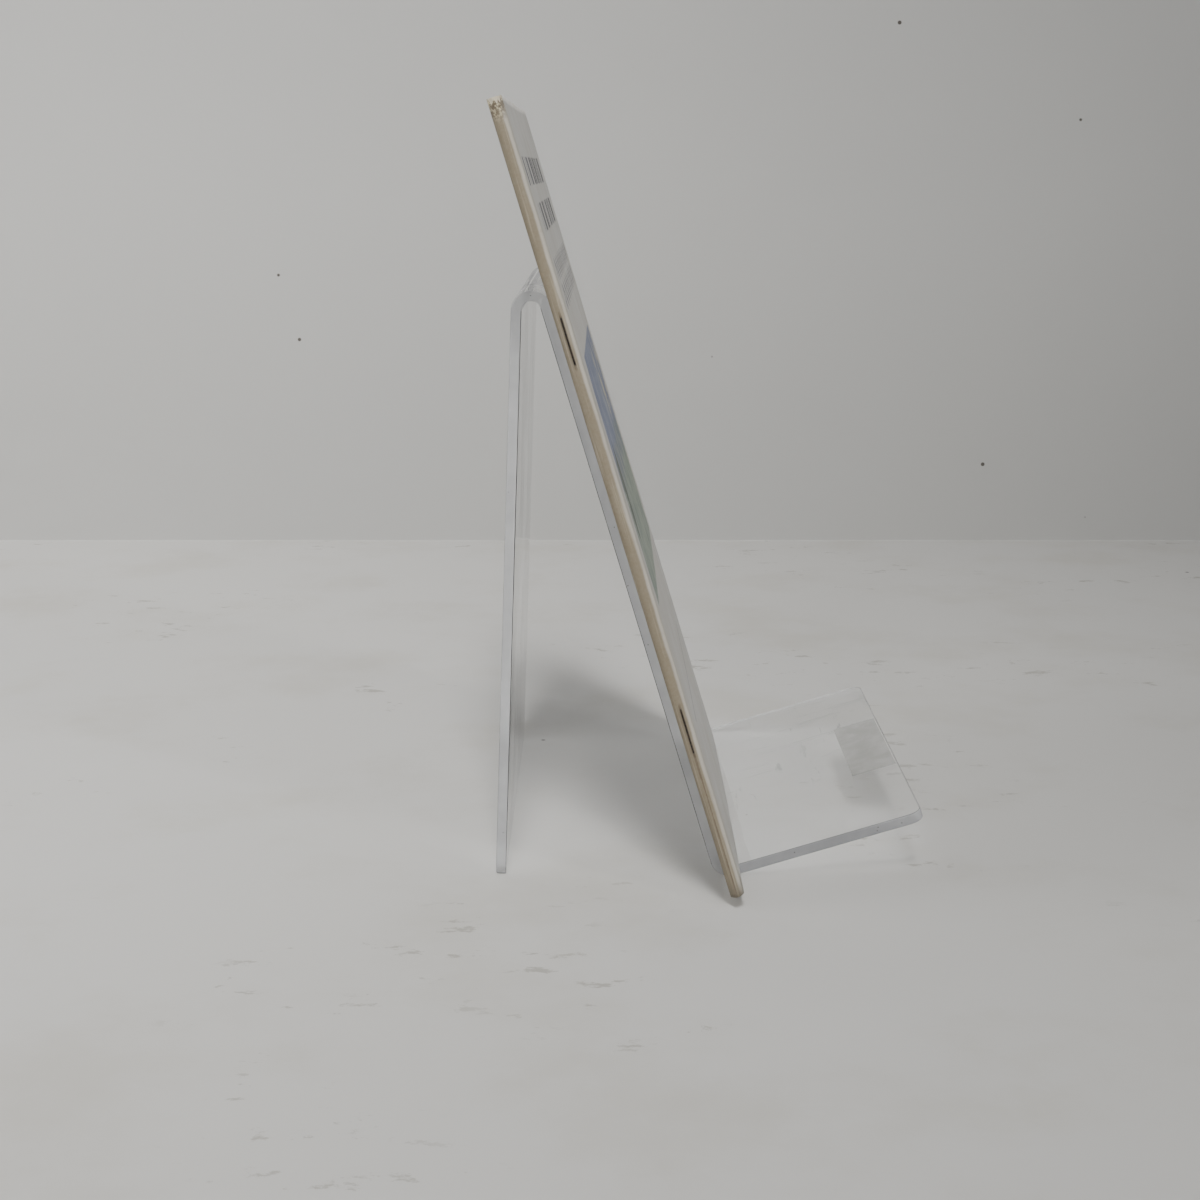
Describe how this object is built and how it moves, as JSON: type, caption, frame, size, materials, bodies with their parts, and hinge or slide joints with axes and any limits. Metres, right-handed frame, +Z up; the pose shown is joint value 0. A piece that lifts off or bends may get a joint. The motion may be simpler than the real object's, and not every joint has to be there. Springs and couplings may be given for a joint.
{
  "type": "album easel",
  "caption": "Clear bent-acrylic easel with a sloping back rest and a ledge, holding a stapled soft-cover album that lifts off and opens.",
  "frame": {"origin": "under the middle of the whole object's box, on the surface that the foot and the low bend stand on", "axes": "+Z up; -Y is the front, where the ledge points and the cover looks; +X from the album's spine to its fore edge, across the stand"},
  "size_m": [0.2486, 0.1677, 0.2977],
  "materials": {
    "acrylic": "clear cast acrylic, polished faces, polished cut edge",
    "label_film": "frosted blank self-adhesive film",
    "cover_paper": "aged matt cover stock, printed front, toned brown along the fold",
    "page_paper": "aged uncoated paper, cream, darker at the edges",
    "staple_wire": "dark tarnished round wire"
  },
  "bodies": {
    "stand": {"easel_sheet": "acrylic", "ledge_label": "label_film"},
    "album_back": {"back_cover": "cover_paper", "cover_spine": "cover_paper", "upper_staple": "staple_wire", "lower_staple": "staple_wire", "sheet_01_fold": "page_paper", "sheet_02_fold": "page_paper", "sheet_03_fold": "page_paper", "sheet_04_fold": "page_paper", "sheet_05_fold": "page_paper", "sheet_06_fold": "page_paper", "sheet_07_fold": "page_paper", "sheet_08_fold": "page_paper", "sheet_09_fold": "page_paper", "sheet_10_fold": "page_paper", "sheet_11_fold": "page_paper", "sheet_12_fold": "page_paper", "sheet_13_fold": "page_paper", "sheet_14_fold": "page_paper", "sheet_15_fold": "page_paper", "sheet_16_fold": "page_paper", "sheet_01_back_leaf": "page_paper", "sheet_02_back_leaf": "page_paper", "sheet_03_back_leaf": "page_paper", "sheet_04_back_leaf": "page_paper", "sheet_05_back_leaf": "page_paper", "sheet_06_back_leaf": "page_paper", "sheet_07_back_leaf": "page_paper", "sheet_08_back_leaf": "page_paper", "sheet_09_back_leaf": "page_paper", "sheet_10_back_leaf": "page_paper", "sheet_11_back_leaf": "page_paper", "sheet_12_back_leaf": "page_paper", "sheet_13_back_leaf": "page_paper", "sheet_14_back_leaf": "page_paper", "sheet_15_back_leaf": "page_paper", "sheet_16_back_leaf": "page_paper"},
    "front_pages": {"sheet_01_front_leaf": "page_paper", "sheet_02_front_leaf": "page_paper", "sheet_03_front_leaf": "page_paper", "sheet_04_front_leaf": "page_paper", "sheet_05_front_leaf": "page_paper", "sheet_06_front_leaf": "page_paper", "sheet_07_front_leaf": "page_paper", "sheet_08_front_leaf": "page_paper", "sheet_09_front_leaf": "page_paper", "sheet_10_front_leaf": "page_paper", "sheet_11_front_leaf": "page_paper", "sheet_12_front_leaf": "page_paper", "sheet_13_front_leaf": "page_paper", "sheet_14_front_leaf": "page_paper", "sheet_15_front_leaf": "page_paper", "sheet_16_front_leaf": "page_paper"},
    "front_cover": {"front_cover": "cover_paper"}
  },
  "joints": [
    {"name": "album_lift", "type": "slide", "parent": "stand", "child": "album_back", "axis": [0, 0.2907, 0.9568], "range_m": [0, 0.24]},
    {"name": "pages_open", "type": "hinge", "parent": "album_back", "child": "front_pages", "pos_m": [-0.1201, -0.0111, 0.00602], "axis": [0, -0.2907, -0.9568], "range_deg": [0, 85]},
    {"name": "cover_open", "type": "hinge", "parent": "front_pages", "child": "front_cover", "pos_m": [-0.1201, -0.0111, 0.00602], "axis": [0, -0.2907, -0.9568], "range_deg": [0, 90]}
  ]
}
